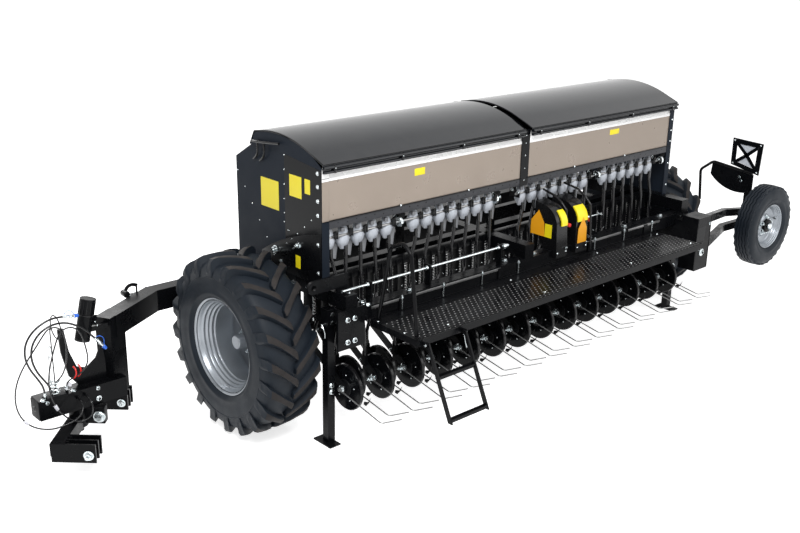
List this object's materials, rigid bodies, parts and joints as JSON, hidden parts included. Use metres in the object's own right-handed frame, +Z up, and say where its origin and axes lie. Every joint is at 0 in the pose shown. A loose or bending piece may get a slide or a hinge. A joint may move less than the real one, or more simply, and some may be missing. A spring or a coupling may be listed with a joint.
{
  "type": "seed drill",
  "caption": "Box seed drill on two lugged wheels, with disc openers, a walkway with a ladder, and an end-tow kit with a hitch and raised road wheels.",
  "frame": {"origin": "on the ground under the middle of the whole machine's box", "axes": "+X along the hopper towards the raised road wheels, +Y the way it travels at work, +Z up"},
  "size_m": [7.5847, 2.522, 2.0933],
  "materials": {
    "black_paint": "gloss",
    "stainless": "bright",
    "tyre": "matte",
    "silver_paint": "satin",
    "grey_plastic": "satin",
    "zinc": "bright",
    "spring_wire": "satin",
    "black_plastic": "satin",
    "hose_rubber": "satin"
  },
  "bodies": {
    "chassis": {"centre_strap": "black_paint", "coulter_frame": "black_paint", "drawbar": "black_paint", "drive_guard_left": "black_plastic", "drive_guard_right": "black_plastic", "end_plate_left": "black_paint", "end_plate_right": "black_paint", "front_beam": "black_paint", "grab_rail": "black_paint", "hopper_dividers": "black_paint", "hopper_floor": "black_paint", "hopper_legs": "black_paint", "hopper_walls": "black_paint", "hose_a": "hose_rubber", "hose_b": "hose_rubber", "hose_c": "hose_rubber", "hose_couplings": "zinc", "hose_d": "hose_rubber", "hose_holder": "spring_wire", "ladder_ears": "black_paint", "lid_hinges": "black_paint", "lifting_eye": "black_paint", "main_frame": "black_paint", "meter_shafts": "zinc", "meters": "grey_plastic", "opener_arms_front": "black_paint", "opener_arms_rear": "black_paint", "platform": "black_paint", "platform_carriers": "black_paint", "pressure_shaft": "zinc", "rear_panel_left": "stainless", "rear_panel_right": "stainless", "seed_tubes": "hose_rubber", "shaft_hangers": "black_paint", "shaft_posts": "black_paint", "stand_sleeves": "black_paint", "tines_front": "spring_wire", "tines_rear": "spring_wire", "transport_beam": "black_paint", "wheel_axles": "black_paint"},
    "wheel_left": {"tyre_left": "tyre", "rim_left": "silver_paint"},
    "wheel_right": {"tyre_right": "tyre", "rim_right": "silver_paint"},
    "road_wheel_rear": {"road_tyre_rear": "tyre", "road_rim_rear": "silver_paint"},
    "road_wheel_front": {"road_tyre_front": "tyre", "road_rim_front": "silver_paint"},
    "road_arm_rear": {"road_arm_rear": "black_paint", "sign_board": "black_paint"},
    "road_arm_front": {"road_arm_front": "black_paint"},
    "lid_left": {"lid_left": "black_paint"},
    "lid_right": {"lid_right": "black_paint"},
    "ladder": {"ladder": "black_paint"},
    "discs_rear": {"discs_rear": "black_paint"},
    "discs_front": {"discs_front": "black_paint"},
    "stand_left": {"stand_left": "black_paint"},
    "stand_right": {"stand_right": "black_paint"},
    "hitch_head": {"hitch_head": "black_paint", "link_plates": "black_paint"}
  },
  "joints": [
    {"name": "wheel_left_spin", "type": "hinge", "parent": "chassis", "child": "wheel_left", "pos_m": [-2.33469, 0.247, 0.65], "axis": [1, 0, 0], "continuous": true},
    {"name": "wheel_right_spin", "type": "hinge", "parent": "chassis", "child": "wheel_right", "pos_m": [2.30531, 0.247, 0.65], "axis": [1, 0, 0], "continuous": true},
    {"name": "road_arm_rear_lift", "type": "hinge", "parent": "chassis", "child": "road_arm_rear", "pos_m": [1.88031, -0.658, 0.69], "axis": [0, 1, 0], "range_deg": [0, 14]},
    {"name": "road_arm_front_lift", "type": "hinge", "parent": "chassis", "child": "road_arm_front", "pos_m": [1.88031, 1.162, 0.69], "axis": [0, 1, 0], "range_deg": [0, 14]},
    {"name": "road_wheel_rear_spin", "type": "hinge", "parent": "road_arm_rear", "child": "road_wheel_rear", "pos_m": [3.31531, -0.533, 0.63], "axis": [0, 1, 0], "continuous": true},
    {"name": "road_wheel_front_spin", "type": "hinge", "parent": "road_arm_front", "child": "road_wheel_front", "pos_m": [3.31531, 1.037, 0.63], "axis": [0, 1, 0], "continuous": true},
    {"name": "lid_left_hinge", "type": "hinge", "parent": "chassis", "child": "lid_left", "pos_m": [-1.02469, 0.589, 1.974], "axis": [-1, 0, 0], "range_deg": [0, 78]},
    {"name": "lid_right_hinge", "type": "hinge", "parent": "chassis", "child": "lid_right", "pos_m": [0.99531, 0.589, 1.974], "axis": [-1, 0, 0], "range_deg": [0, 78]},
    {"name": "ladder_fold", "type": "hinge", "parent": "chassis", "child": "ladder", "pos_m": [-1.57969, -1.008, 0.868], "axis": [-1, 0, 0], "range_deg": [0, 150]},
    {"name": "discs_rear_spin", "type": "hinge", "parent": "chassis", "child": "discs_rear", "pos_m": [-0.01469, -0.408, 0.405], "axis": [1, 0, 0], "continuous": true},
    {"name": "discs_front_spin", "type": "hinge", "parent": "chassis", "child": "discs_front", "pos_m": [-0.01469, -0.263, 0.38], "axis": [1, 0, 0], "continuous": true},
    {"name": "stand_left_slide", "type": "slide", "parent": "chassis", "child": "stand_left", "axis": [0, 0, 1], "range_m": [0, 0.4]},
    {"name": "stand_right_slide", "type": "slide", "parent": "chassis", "child": "stand_right", "axis": [0, 0, 1], "range_m": [0, 0.4]},
    {"name": "hitch_yaw", "type": "hinge", "parent": "chassis", "child": "hitch_head", "pos_m": [-3.38469, 0.707, 0.205], "axis": [0, 0, 1], "continuous": true}
  ]
}
